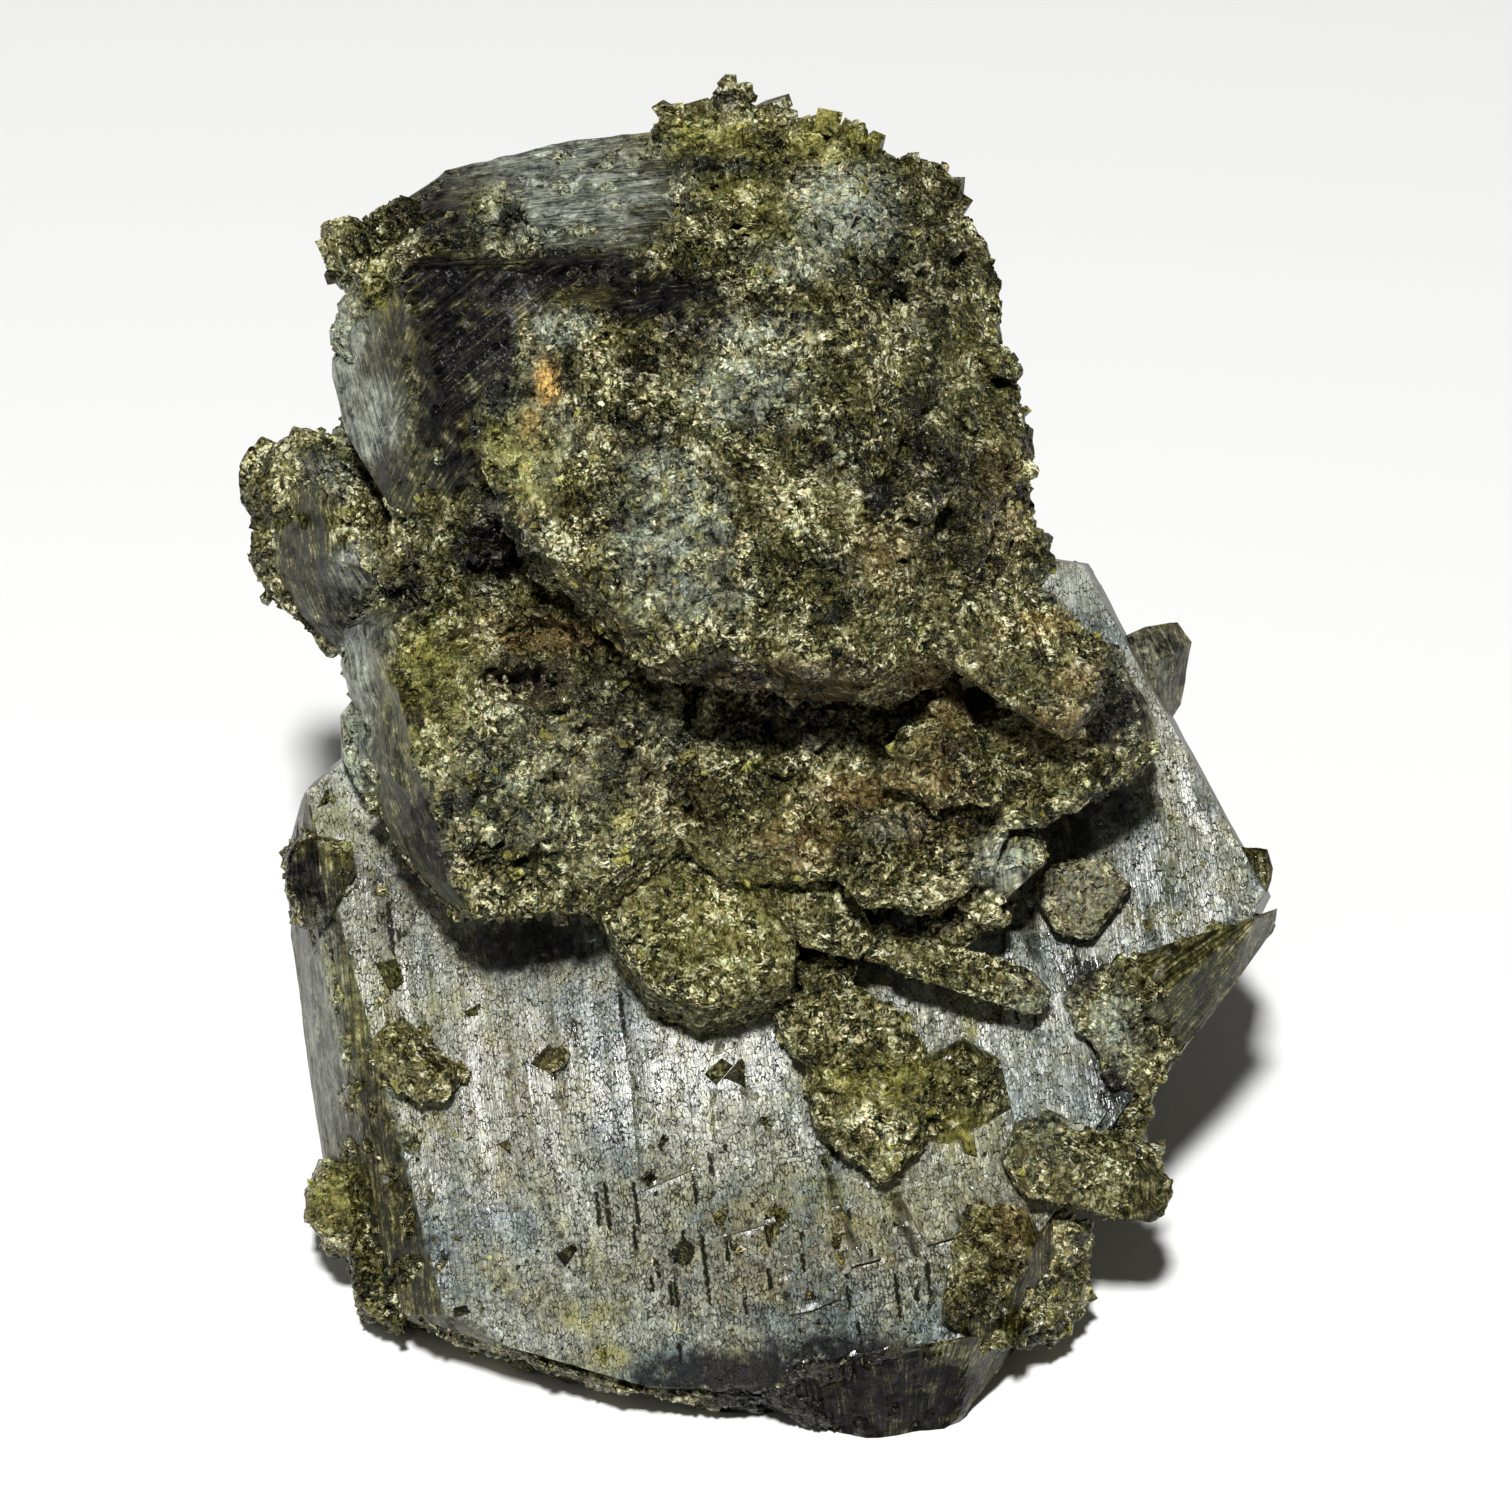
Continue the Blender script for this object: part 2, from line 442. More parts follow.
def keep_values(mesh, values, repeat=1):
    """Stores a named value at every vertex for the material to read."""
    for name, numbers in values.items():
        stored = np.repeat(numbers, repeat).astype(np.float32)
        mesh.attributes.new(name, "FLOAT", "POINT").data.foreach_set("value", stored)


stone_stains = stains_at(places)
keep_values(stone_mesh, {"bare": bare, "broad": broad, "crack": np.maximum(crack, ledge), **stone_stains})


def fill(node, inputs):
    """Links these inputs of the node to outputs of others, or gives them a value."""
    for key, value in inputs.items():
        if isinstance(value, bpy.types.NodeSocket):
            node.id_data.links.new(value, node.inputs[key])
        else:
            node.inputs[key].default_value = value


def wired(kind, inputs, tree=None, **settings):
    """A new node of that kind, in the tree that its inputs come from, with its settings made."""
    if tree is None:
        tree = next(value.id_data for value in inputs.values() if isinstance(value, bpy.types.NodeSocket))
    node = tree.nodes.new("ShaderNode" + kind)
    for name, value in settings.items():
        setattr(node, name, value)
    fill(node, inputs)
    return node


def maths(operation, *values, clamp=False):
    return wired("Math", dict(enumerate(values)), operation=operation, use_clamp=clamp).outputs[0]


def plus(one, other):
    return maths("ADD", one, other)


def times(one, other):
    return maths("MULTIPLY", one, other)


def minus(one, other, clamp=False):
    return maths("SUBTRACT", one, other, clamp=clamp)


def vector_maths(operation, *values, output="Vector"):
    return wired("VectorMath", dict(enumerate(values)), operation=operation).outputs[output]


def scaled_by(vector, size):
    return wired("VectorMath", {0: vector, 3: size}, operation="SCALE").outputs[0]


MIX_SOCKETS = {"FLOAT": (2, 3, 0), "VECTOR": (4, 5, 1), "RGBA": (6, 7, 2)}


def blended(share, first, second, kind="RGBA"):
    """What goes from the first to the second colour, value or way as the share goes from 0 to 1."""
    one, other, out = MIX_SOCKETS[kind]
    first, second = ((*end, 1) if isinstance(end, tuple) else end for end in (first, second))
    return wired("Mix", {0: share, one: first, other: second}, data_type=kind).outputs[out]


def value_of(tree, name):
    return wired("Attribute", {}, tree, attribute_name=name).outputs["Fac"]


def graded(value, low, high, to_low=0, to_high=1):
    """The value brought from one range to another, and kept inside it."""
    inputs = {"Value": value, "From Min": low, "From Max": high, "To Min": to_low, "To Max": to_high}
    return wired("MapRange", inputs).outputs[0]


def spread(share, low, high):
    return graded(share, 0, 1, low, high)


def noise_at(place, scale, detail=3, rough=0.6, output="Fac"):
    inputs = {"Vector": place, "Scale": scale, "Detail": detail, "Roughness": rough}
    return wired("TexNoise", inputs).outputs[output]


def cells_at(place, scale, dimensions="3D"):
    """Cells as fine as the scale: the scaled place, colours, the way from the middle, and a tilt for each."""
    drawn = wired("Mapping", {"Vector": place, "Scale": scale}).outputs[0]
    found = wired("TexVoronoi", {"Vector": drawn, "Scale": 1}, voronoi_dimensions=dimensions).outputs
    away = vector_maths("SUBTRACT", drawn, found["Position"])
    leaning = vector_maths("SUBTRACT", found["Color"], (0.5, 0.5, 0.5))
    tilt = vector_maths("DOT_PRODUCT", leaning, away, output="Value")
    return drawn, wired("SeparateColor", {0: found["Color"]}).outputs, away, tilt


def new_group(name, inputs, outputs):
    """An empty node group with these sockets, and its input and output nodes."""
    tree = bpy.data.node_groups.new(name, "ShaderNodeTree")
    for way, sockets in (("INPUT", inputs), ("OUTPUT", outputs)):
        for label, kind in sockets.items():
            tree.interface.new_socket(label, in_out=way, socket_type="NodeSocket" + kind)
    return tree, tree.nodes.new("NodeGroupInput").outputs, tree.nodes.new("NodeGroupOutput")


def grouped(group, inputs):
    return wired("Group", inputs, node_tree=group).outputs


def new_finish(name):
    """A new material, with its nodes and its surface."""
    finish = bpy.data.materials.new(name)
    finish.use_nodes = True
    return finish, finish.node_tree, finish.node_tree.nodes["Principled BSDF"]


# Epidote's own colours, from nearly black green through khaki to cream, with what stains them.
TONES = [
    (0, (0.002, 0.002, 0.001)), (0.3, (0.018, 0.017, 0.003)), (0.55, (0.088, 0.08, 0.026)),
    (0.8, (0.29, 0.27, 0.14)), (1, (0.82, 0.79, 0.58)),
]
TINTS = {  # each stain's colour, and how much of it shows at the most
    "pale": ((0.3, 0.32, 0.265), 0.85), "lime": ((0.24, 0.225, 0.055), 0.75),
    "rust": ((0.15, 0.092, 0.034), 0.65), "ochre": ((0.8, 0.5, 0.17), 0.9),
    "dark": ((0.008, 0.007, 0.009), 0.92),
}
labels = {kind: kind.capitalize() for kind in TINTS}
tinting, given, made = new_group(
    "epidote_colour", {"Tone": "Float", **{label: "Float" for label in labels.values()}}, {"Color": "Color"},
)
ramp = wired("ValToRGB", {"Fac": given["Tone"]})
while len(ramp.color_ramp.elements) < len(TONES):
    ramp.color_ramp.elements.new(0.5)
for element, (position, colour) in zip(ramp.color_ramp.elements, TONES):
    element.position = position
    element.color = (*colour, 1)
colour = ramp.outputs["Color"]
bright = spread(given["Tone"], 0.08, 2)
for kind, (tint, most) in TINTS.items():
    share = maths("MULTIPLY", given[labels[kind]], most, clamp=True)
    colour = blended(share, colour, scaled_by(tint, bright))
fill(made, {"Color": colour})

# The hatch of a grown face: fine striae along its growth, and a crackle of thin seams.
hatching, given, made = new_group(
    "growth_hatch", {"Growth": "Vector", "Slotted": "Float"},
    {"Striae": "Float", "Seams": "Float", "Cell": "Float", "Tilt": "Float", "Terrace": "Float"},
)
face_place, slot_share = given["Growth"], given["Slotted"]
drawn_out = wired("Mapping", {"Vector": face_place, "Scale": (1, 0.05, 1)}).outputs[0]
wavy = noise_at(face_place, 2.6, 3, 0.5, "Color")
wavy_place = vector_maths("MULTIPLY_ADD", wavy, (0.55, 0.9, 0.5), face_place)
celled, cell_colours, _, cell_tilt = cells_at(wavy_place, (3.9, 1.9, 1), "2D")
# Thin seams run between the cells, wide in some patches and nearly gone in others.
edges_of = {"voronoi_dimensions": "2D", "feature": "DISTANCE_TO_EDGE"}
net = wired("TexVoronoi", {"Vector": celled, "Scale": 1}, **edges_of).outputs[0]
width = graded(noise_at(face_place, 0.9, 5, 0.8), 0.42, 0.66, 0.01, 0.22)
width = times(width, graded(slot_share, 0, 0.8, 0.75, 1.5))
seams = maths("POWER", minus(1, maths("DIVIDE", net, width, clamp=True), clamp=True), 0.5)
seams = times(seams, graded(noise_at(face_place, 2.2, 3, 0.7), 0.4, 0.52, 0.25, 1))
# Some terraces, which are larger cells, end in a narrow dark slot along the growth.
_, (terrace_tone, length, chance), away, slope = cells_at(wavy_place, (0.75, 0.24, 1), "2D")
beside, above, _ = wired("SeparateXYZ", {0: away}).outputs
slot = graded(maths("ABSOLUTE", beside), 0.07, 0.13, 1, 0)
longest = spread(length, 0.1, 0.45)
slot = times(slot, maths("LESS_THAN", maths("ABSOLUTE", above), longest))
slot = times(slot, maths("LESS_THAN", chance, slot_share))
fill(made, {
    "Striae": noise_at(drawn_out, 4.5, 4, 0.65), "Seams": maths("MAXIMUM", seams, slot),
    "Cell": cell_colours[0], "Tilt": plus(cell_tilt, times(slope, 1.6)), "Terrace": terrace_tone,
})

# The sugary grain of the crust: tiny crystals, each with a tone and a tilt of its own.
graining, given, made = new_group(
    "sugar_grain", {"Place": "Vector"}, {"Tone": "Float", "Height": "Float", "Fine": "Float", "Hue": "Color"},
)
in_millimetres = scaled_by(given["Place"], 1 / MM)
stirred = noise_at(in_millimetres, 1.6, 2, 0.5, "Color")
stirred = vector_maths("MULTIPLY_ADD", stirred, (0.7, 0.7, 0.7), in_millimetres)
# Most grains are short needles, upright in some patches and lying in others, with stout ones among them.
tones_of, tilts_of = [], []
for per_mm in ((8, 3.4, 3.4), (3.4, 7.5, 7.5), (2.4, 2.4, 2.4)):
    _, colours, _, tilt = cells_at(stirred, per_mm)
    tones_of.append(colours[0])
    tilts_of.append(tilt)
lying = graded(noise_at(in_millimetres, 0.9, 2), 0.48, 0.52)
needle_tone = blended(lying, tones_of[0], tones_of[1], "FLOAT")
needle_height = blended(lying, tilts_of[0], tilts_of[1], "FLOAT")
dusting = noise_at(in_millimetres, 7, 2, 0.6)
tone = plus(times(needle_tone, 0.55), times(tones_of[2], 0.45))
height = plus(times(needle_height, 0.24), times(tilts_of[2], 0.36))
height = plus(height, times(dusting, 0.06))
# Some grains lean to yellow green, some to brown and some to grey.
YELLOWISH, BROWNISH, GREYISH = (0.97, 1, 0.74), (1.05, 0.95, 0.8), (0.94, 0.99, 0.96)
_, yellow, brown = colours
hue = blended(graded(yellow, 0.5, 0.9), GREYISH, YELLOWISH)
hue = blended(graded(brown, 0.6, 0.9), hue, BROWNISH)
fill(made, {"Tone": graded(tone, 0.18, 0.82), "Height": height, "Fine": dusting, "Hue": hue})


def bumped(height):
    """The way that a surface faces with this height on it, in mm."""
    return wired("Bump", {"Strength": 1, "Distance": MM, "Height": height}).outputs[0]


stone_finish, tree, surface = new_finish("epidote_stone")
place = wired("TexCoord", {}, tree).outputs["Object"]
growth_at = wired("UVMap", {}, tree, uv_map="growth").outputs[0]
bare_share, broad_share = value_of(tree, "bare"), value_of(tree, "broad")
stains = {label: value_of(tree, kind) for kind, label in labels.items()}
hatch = grouped(hatching, {"Growth": growth_at, "Slotted": value_of(tree, "slotted")})
mottle = noise_at(place, 420, 4, 0.65)
sugar = grouped(graining, {"Place": place})
# The ground under the druse is dark and sugary.
ground = grouped(tinting, {"Tone": times(sugar["Tone"], 0.7), **stains})["Color"]
# The lesser crystal faces are a dark, smooth green grey, streaked along their growth.
veined = noise_at(place, 1100, 6, 0.75)
face_tone = plus(graded(hatch["Striae"], 0.4, 0.62, 0.14, 0.56), graded(mottle, 0.35, 0.7, -0.18, 0.22))
face_tone = plus(face_tone, graded(veined, 0.38, 0.62, -0.22, 0.2))
face_tone = plus(face_tone, spread(sugar["Tone"], -0.15, 0.15))
# In the dark parts only a few fibres stay light.
not_fibre = minus(1, times(graded(hatch["Striae"], 0.6, 0.68), 0.8))
face_stains = {**stains, "Dark": times(stains["Dark"], not_fibre)}
face_colour = grouped(tinting, {"Tone": face_tone, **face_stains})["Color"]
# The broad face is silver grey, in cells with dark olive seams between them.
SILVER, WARM_SILVER, SEAM = (0.2, 0.213, 0.17), (0.165, 0.158, 0.088), (0.006, 0.006, 0.002)
OVER_SILVER = [  # patches of other colours: their noise, from where to where they grow, and how strong
    ((0.08, 0.108, 0.106), (130, 4, 0.65), (0.48, 0.6, 0, 0.85)),
    ((0.05, 0.047, 0.012), (900, 4, 0.7), (0.58, 0.66)),
    (TINTS["lime"][0], (1500, 3, 0.7), (0.62, 0.68, 0, 0.6)),
]
silver = blended(graded(mottle, 0.4, 0.62), SILVER, WARM_SILVER)
for colour, grain, strength in OVER_SILVER:
    silver = blended(graded(noise_at(place, *grain), *strength), silver, colour)
shade = times(graded(hatch["Striae"], 0.3, 0.7, 0.6, 1.3), spread(hatch["Cell"], 0.7, 1.3))
shade = times(shade, spread(hatch["Terrace"], 0.78, 1.22))
shade = times(shade, spread(sugar["Tone"], 0.45, 1.55))
silver = scaled_by(silver, shade)
for kind in ("pale", "lime", "rust", "dark"):
    tint, most = TINTS[kind]
    silver = blended(times(stains[labels[kind]], most), silver, tint)
seam_share = maths("MAXIMUM", times(hatch["Seams"], broad_share), value_of(tree, "crack"))
silver = blended(seam_share, silver, SEAM)
face_colour = blended(broad_share, face_colour, silver)
ragged_bare = graded(plus(bare_share, spread(mottle, -0.5, 0.5)), 0.4, 0.6)
smooth = blended(stains["Dark"], graded(hatch["Striae"], 0.3, 0.7, 0.27, 0.36), 0.16, "FLOAT")
rough = blended(ragged_bare, graded(sugar["Fine"], 0.3, 0.7, 0.35, 0.15), smooth, "FLOAT")
rough = blended(seam_share, rough, 0.14, "FLOAT")
# The broad face swells very slightly round its brightest place, so its sheen fades towards the edges.
SWELLING_AT, SWELLING_RADIUS, SWELLING_WIDE = (-3.2, -21.5), 42, 15  # where, seen face on, and in mm
OFF_BROAD = 99  # added to the distance of every place that isn't on the broad face
brightest = grown[np.argmin(np.linalg.norm(seen[:, :2] - SWELLING_AT, axis=1) + OFF_BROAD * (broad < 0.5))]
from_it = vector_maths("SUBTRACT", growth_at, (*brightest, 0))
square = vector_maths("DOT_PRODUCT", from_it, from_it, output="Value")
swelling = maths("LOGARITHM", maths("MULTIPLY_ADD", square, SWELLING_WIDE ** -2, 1), math.e)
swelling = times(swelling, -0.5 * SWELLING_WIDE ** 2 / SWELLING_RADIUS)
broad_relief = plus(swelling, times(hatch["Striae"], 0.04))
broad_relief = minus(broad_relief, times(seam_share, 0.09))
broad_relief = plus(broad_relief, times(hatch["Tilt"], 0.03))
face_relief = maths("MULTIPLY_ADD", sugar["Height"], 0.12, times(hatch["Striae"], 0.05))
other_relief = blended(ragged_bare, sugar["Height"], face_relief, "FLOAT")
way = blended(times(broad_share, ragged_bare), bumped(other_relief), bumped(broad_relief), "VECTOR")
fill(surface, {
    "Base Color": blended(ragged_bare, ground, face_colour),
    "Roughness": rough,
    "Normal": vector_maths("NORMALIZE", way),
})
surface.inputs["Specular IOR Level"].default_value = 0.55
stone_mesh.materials.append(stone_finish)
# The lesser faces mirror less of the pale room than the broad one, and the darkest hardly any.
for name, gloss in (("epidote_lesser_faces", 0.2), ("epidote_dark_faces", 0.06)):
    duller_finish = stone_finish.copy()
    duller_finish.name = name
    duller_finish.node_tree.nodes["Principled BSDF"].inputs["Specular IOR Level"].default_value = gloss
    stone_mesh.materials.append(duller_finish)
is_lesser = broad[corners].mean(1) < 0.5
is_dark = is_lesser & (stone_stains["dark"][corners].mean(1) > 0.5)
stone_mesh.polygons.foreach_set("material_index", is_lesser.astype(np.int32) + is_dark)


def placed(name, data):
    """A new object with that name and data, in the scene."""
    made = bpy.data.objects.new(name, data)
    bpy.context.scene.collection.objects.link(made)
    return made


stone = placed("stone", stone_mesh)
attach(stone, "root")
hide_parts("epidote_cluster")

# The crust. Everywhere but on the free faces the cluster is grown over by a crust of tiny epidote
# crystals, grown into each other, of which each shows the corner or edge that it turns outwards.

rng = np.random.default_rng(29)
triangles = skin[corners]
sides = triangles[:, 1:] - triangles[:, :1]
crossed = np.cross(sides[:, 0], sides[:, 1])
face_area = np.linalg.norm(crossed, axis=1) / 2
face_normal = crossed / np.maximum(2 * face_area, 1e-15)[:, None]
face_middle = triangles.mean(1)
face_seen, face_turned = as_seen(face_middle), turned_to_eye(face_normal)
face_crusted = crusted[corners].mean(1)
FRONT, NEAR_FRONT = -0.1, -0.5  # how far outwards a face in front, or one just behind it, is turned
FOOT_MARGIN = 0.3 * MM  # no crust grows this near the table
on_front, near_front = face_turned[:, 2] > FRONT, face_turned[:, 2] > NEAR_FRONT
off_foot = ~is_foot[facet] & (face_middle[:, 2] > FOOT_MARGIN)


THICKLY = 2.6  # places tried for each one kept, about


def scattered(weight, spacing):
    """Faces and places on them, about that far apart in mm, picked at random where the weight is."""
    weight = face_area * weight
    number = int(THICKLY * weight.sum() / (spacing * MM) ** 2)
    on_face = rng.choice(len(weight), number, p=weight / weight.sum())
    a, b = rng.random((2, number))
    fold = a + b > 1
    a[fold], b[fold] = 1 - a[fold], 1 - b[fold]
    share = np.stack([1 - a - b, a, b], 1)
    spots = (triangles[on_face] * share[:, :, None]).sum(1)
    raised = (lumps[corners[on_face]] * share).sum(1)
    cell = np.floor(spots / (spacing * MM)).astype(np.int64)
    _, first = np.unique(cell, axis=0, return_index=True)
    first = np.sort(first)
    return on_face[first], spots[first], raised[first]


def turned_anyhow(many):
    """That many turns, each as a matrix, with no way preferred."""
    spin = rng.normal(size=(many, 4))
    w, x, y, z = (spin / np.linalg.norm(spin, axis=1, keepdims=True)).T
    return np.stack([
        1 - 2 * (y * y + z * z), 2 * (x * y - z * w), 2 * (x * z + y * w),
        2 * (x * y + z * w), 1 - 2 * (x * x + z * z), 2 * (y * z - x * w),
        2 * (x * z - y * w), 2 * (y * z + x * w), 1 - 2 * (x * x + y * y),
    ], 1).reshape(-1, 3, 3)


# Where the crystals of the crust stand, and their sizes: fine in front and coarser behind.
FRONT_SPACING, BACK_SPACING = 0.3, 0.7
CRYSTAL_SIZE = 1.25  # times their spacing
CRYSTAL_SUNK = 0.22  # how far the middle of a crystal lies in the ground, in sizes
SIZES_STRAY, SMALLEST, LARGEST = 0.35, 0.5, 2.2  # how much a size strays, and between what limits
MIDDLE_TONE, TONE_STRAYS = 0.45, 0.24
grown_over = (face_crusted > RIM_AT) & off_foot
crystal_face, crystal_at, crystal_half = [], [], []
for chosen, spacing in ((grown_over & near_front, FRONT_SPACING), (grown_over & ~near_front, BACK_SPACING)):
    on_face, spots, raised = scattered(chosen.astype(float), spacing)
    strayed = np.clip(rng.lognormal(0, SIZES_STRAY, len(spots)), SMALLEST, LARGEST)
    size = spacing * CRYSTAL_SIZE * strayed
    girth = rng.uniform(0.6, 1.2, (len(spots), 3))
    crystal_face.append(on_face)
    crystal_at.append(spots + face_normal[on_face] * ((raised - CRYSTAL_SUNK * size) * MM)[:, None])
    crystal_half.append(girth * size[:, None] / 2 * MM)
crystal_face, crystal_at = np.concatenate(crystal_face), np.concatenate(crystal_at)
crystal_half = np.concatenate(crystal_half)
crystal_turn = turned_anyhow(len(crystal_at))
crystal_tone = np.clip(rng.normal(MIDDLE_TONE, TONE_STRAYS, len(crystal_at)), 0, 1)
finder = kdtree.KDTree(len(crystal_at))
for number, spot in enumerate(crystal_at):
    finder.insert(spot, number)
finder.balance()


NEAREST = 6  # crystals looked at for each point
LEVEL = 1e-3  # an edge that leans less than this towards the way counts as leaning this much
NO_REACH = -9  # mm, where none of them is met


def reach_of_crystals(points, ways):
    """How far out along its way, in mm, the crystals near each point reach, and which reaches furthest."""
    near = np.array([[found[1] for found in finder.find_n(point, NEAREST)] for point in points])
    gone_in, gone_out = np.full(near.shape, -np.inf), np.full(near.shape, np.inf)
    away = points[:, None] - crystal_at[near]
    for axis in range(3):
        edge_way = crystal_turn[near][:, :, axis]
        lean = (ways[:, None] * edge_way).sum(2)
        lean = np.where(np.abs(lean) < LEVEL, LEVEL, lean)
        off, half = (away * edge_way).sum(2), crystal_half[near][:, :, axis]
        one, other = (-half - off) / lean, (half - off) / lean
        gone_in = np.maximum(gone_in, np.minimum(one, other))
        gone_out = np.minimum(gone_out, np.maximum(one, other))
    reach = np.where(gone_in < gone_out, gone_out / MM, NO_REACH)
    best = reach.argmax(1)
    rows = np.arange(len(points))
    return reach[rows, best], near[rows, best]


def split(chosen, parts):
    """These faces, each cut into parts x parts smaller ones.

    Gives for every point the corners that it lies between and its shares of them, then the small faces'
    points, the points along the sides of each face, and which sides are on the rim.
    """
    face = corners[chosen]
    used, local = np.unique(face, return_inverse=True)
    local = local.reshape(-1, 3)
    pairs = np.stack([local, np.roll(local, -1, axis=1)], 2)
    edge, side = np.unique(np.sort(pairs, axis=2).reshape(-1, 2), axis=0, return_inverse=True)
    side = side.reshape(-1, 3)
    turned = pairs[:, :, 0] > pairs[:, :, 1]
    inner = [(i, j) for i in range(1, parts) for j in range(1, parts - i)]
    first_inner = len(used) + len(edge) * (parts - 1)
    total = first_inner + len(face) * len(inner)
    number, base, share = {}, np.zeros((total, 3), int), np.zeros((total, 3))
    for i in range(parts + 1):
        for j in range(parts + 1 - i):
            k = parts - i - j
            if parts in (i, j, k):
                corner = (k, i, j).index(parts)
                number[i, j] = local[:, corner]
            elif 0 in (i, j, k):
                # Sides 0, 1 and 2 run from corner 0 to 1, from 1 to 2 and from 2 to 0.
                s, far = (0, i) if j == 0 else (1, j) if k == 0 else (2, k)
                step = np.where(turned[:, s], parts - far, far)
                number[i, j] = len(used) + side[:, s] * (parts - 1) + step - 1
            else:
                number[i, j] = first_inner + np.arange(len(face)) * len(inner) + inner.index((i, j))
            base[number[i, j]] = face
            share[number[i, j]] = np.array([k, i, j]) / parts
    small = []
    for i in range(parts):
        for j in range(parts - i):
            small.append([number[i, j], number[i + 1, j], number[i, j + 1]])
            if i + j < parts - 1:
                small.append([number[i + 1, j], number[i + 1, j + 1], number[i, j + 1]])
    along_sides = [
        [number[i, 0] for i in range(parts + 1)],
        [number[parts - j, j] for j in range(parts + 1)],
        [number[0, parts - k] for k in range(parts + 1)],
    ]
    on_rim = np.bincount(side.ravel(), minlength=len(edge))[side] == 1
    return base, share, np.array(small).transpose(2, 0, 1), np.array(along_sides).transpose(2, 0, 1), on_rim


druse_finish, tree, surface = new_finish("epidote_druse")
place = wired("TexCoord", {}, tree).outputs["Object"]
sugar = grouped(graining, {"Place": place})
grain_share = graded(noise_at(place, 450, 3), 0.42, 0.58, 0.5, 1)
grain = times(minus(sugar["Tone"], 0.5), grain_share)
tone = plus(maths("MULTIPLY_ADD", value_of(tree, "tone"), 0.22, 0.44), grain)
patch = graded(noise_at(place, 280, 5, 0.7), 0.38, 0.62, -0.33, 0.21)
uneven = spread(value_of(tree, "calm"), 1, 0.35)
stains = {label: value_of(tree, kind) for kind, label in labels.items()}
colour = grouped(tinting, {"Tone": maths("MULTIPLY_ADD", patch, uneven, tone), **stains})["Color"]
fill(surface, {
    "Base Color": vector_maths("MULTIPLY", colour, sugar["Hue"]),
    "Roughness": graded(sugar["Fine"], 0.3, 0.7, 0.14, 0.34),
    "Normal": bumped(sugar["Height"]),
})
surface.inputs["Specular IOR Level"].default_value = 0.3

# The crust starts where the ground is this much crusted, and is full a little further in.
CRUST_FROM, CRUST_EDGE = 0.42, 0.08
FLOOR_DEPTH, MOST_RISE, CALM_RISE = 0.14, 0.34, 0.12  # under and over the lumps, in mm
BURIED, BACKING = 0.6, 0.6  # how deep its rim and its back lie in the stone, in mm
BACK_LOWEST, BACK_TONE = 0.1 * MM, 0.3


def crust(name, chosen, parts):
    """The crust on these faces, as one closed mesh, with a backing inside the stone."""
    base, share, small, along_sides, on_rim = split(chosen, parts)

    def between(values):
        """A value of the stone's corners, at each point of the crust."""
        return (values[base] * (share if values.ndim == 1 else share[:, :, None])).sum(1)

    way, start = unit(between(normals)), between(skin)
    own_lumps, own_calm = between(lumps), between(calm)
    reach, crystal = reach_of_crystals(start, way)
    covered = np.clip((between(crusted) - CRUST_FROM) / CRUST_EDGE, 0, 1)
    bed = covered * (own_lumps - FLOOR_DEPTH) - (1 - covered) * BURIED
    most_rise = MOST_RISE + (CALM_RISE - MOST_RISE) * own_calm
    height = np.clip(np.maximum(reach, bed), bed, own_lumps + most_rise)
    top = kept_inside(start + way * (height * MM)[:, None])
    back = start + way * (np.minimum(own_lumps - BACKING, -BURIED) * MM)[:, None]
    back[:, 2] = np.maximum(back[:, 2], BACK_LOWEST)
    many = len(top)
    faces = small.reshape(-1, 3).tolist()
    tones = crystal_tone[crystal[small[:, :, 0]]].ravel()
    shown = len(faces)
    for sides_of, rims in zip(along_sides, on_rim):
        outline = []
        for points, rim in zip(sides_of.tolist(), rims):
            outline += points[:-1] if rim else points[:1]
            if rim:
                faces += [[b, a, many + a, many + b] for a, b in zip(points, points[1:])]
        faces.append([many + point for point in outline[::-1]])
    mesh = bpy.data.meshes.new(name)
    mesh.from_pydata(np.concatenate([top, back]), [], faces)
    keep_values(mesh, {"calm": np.tile(own_calm, 2), **stains_at(np.concatenate([top, top]))})
    tones = np.concatenate([tones, np.full(len(faces) - shown, BACK_TONE)]).astype(np.float32)
    mesh.attributes.new("tone", "FLOAT", "FACE").data.foreach_set("value", tones)
    mesh.materials.append(druse_finish)
    grown_crust = placed(name, mesh)
    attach(grown_crust, "root")


# The crust is made in six sheets, parted at these heights and widths, seen face on, in mm.
CROWN_FOOT, CROWN_LEFT, MIDDLE_RIGHT = 4, -20, -5
CROWN_WAIST, PRISM_FOOT = 23, -13
crust_here = (crusted[corners].max(1) > CRUST_FROM) & off_foot
on_crown = on_front & (face_seen[:, 1] > CROWN_FOOT) & (face_seen[:, 0] > CROWN_LEFT)
on_left = on_front & (face_seen[:, 0] < MIDDLE_RIGHT) & ~on_crown
on_right = on_front & ~on_crown & ~on_left
is_high, is_low = face_seen[:, 1] > CROWN_WAIST, face_seen[:, 1] < PRISM_FOOT
for name, chosen, parts in (
    ("crust_on_crown_top", on_crown & is_high, 3), ("crust_on_crown_front", on_crown & ~is_high, 3),
    ("crust_on_left_block", on_left, 3), ("crust_on_prisms", on_right & ~is_low, 3),
    ("crust_on_chunks", on_right & is_low, 3), ("crust_on_back", ~on_front, 2),
):
    crust(name, np.flatnonzero(crust_here & chosen), parts)

# The druse. Larger crystals of epidote stand up out of the crust, each a blunt block or wedge at its
# own angle. A few small ones sit on the bare faces, and dark chips grow out of the broad one.

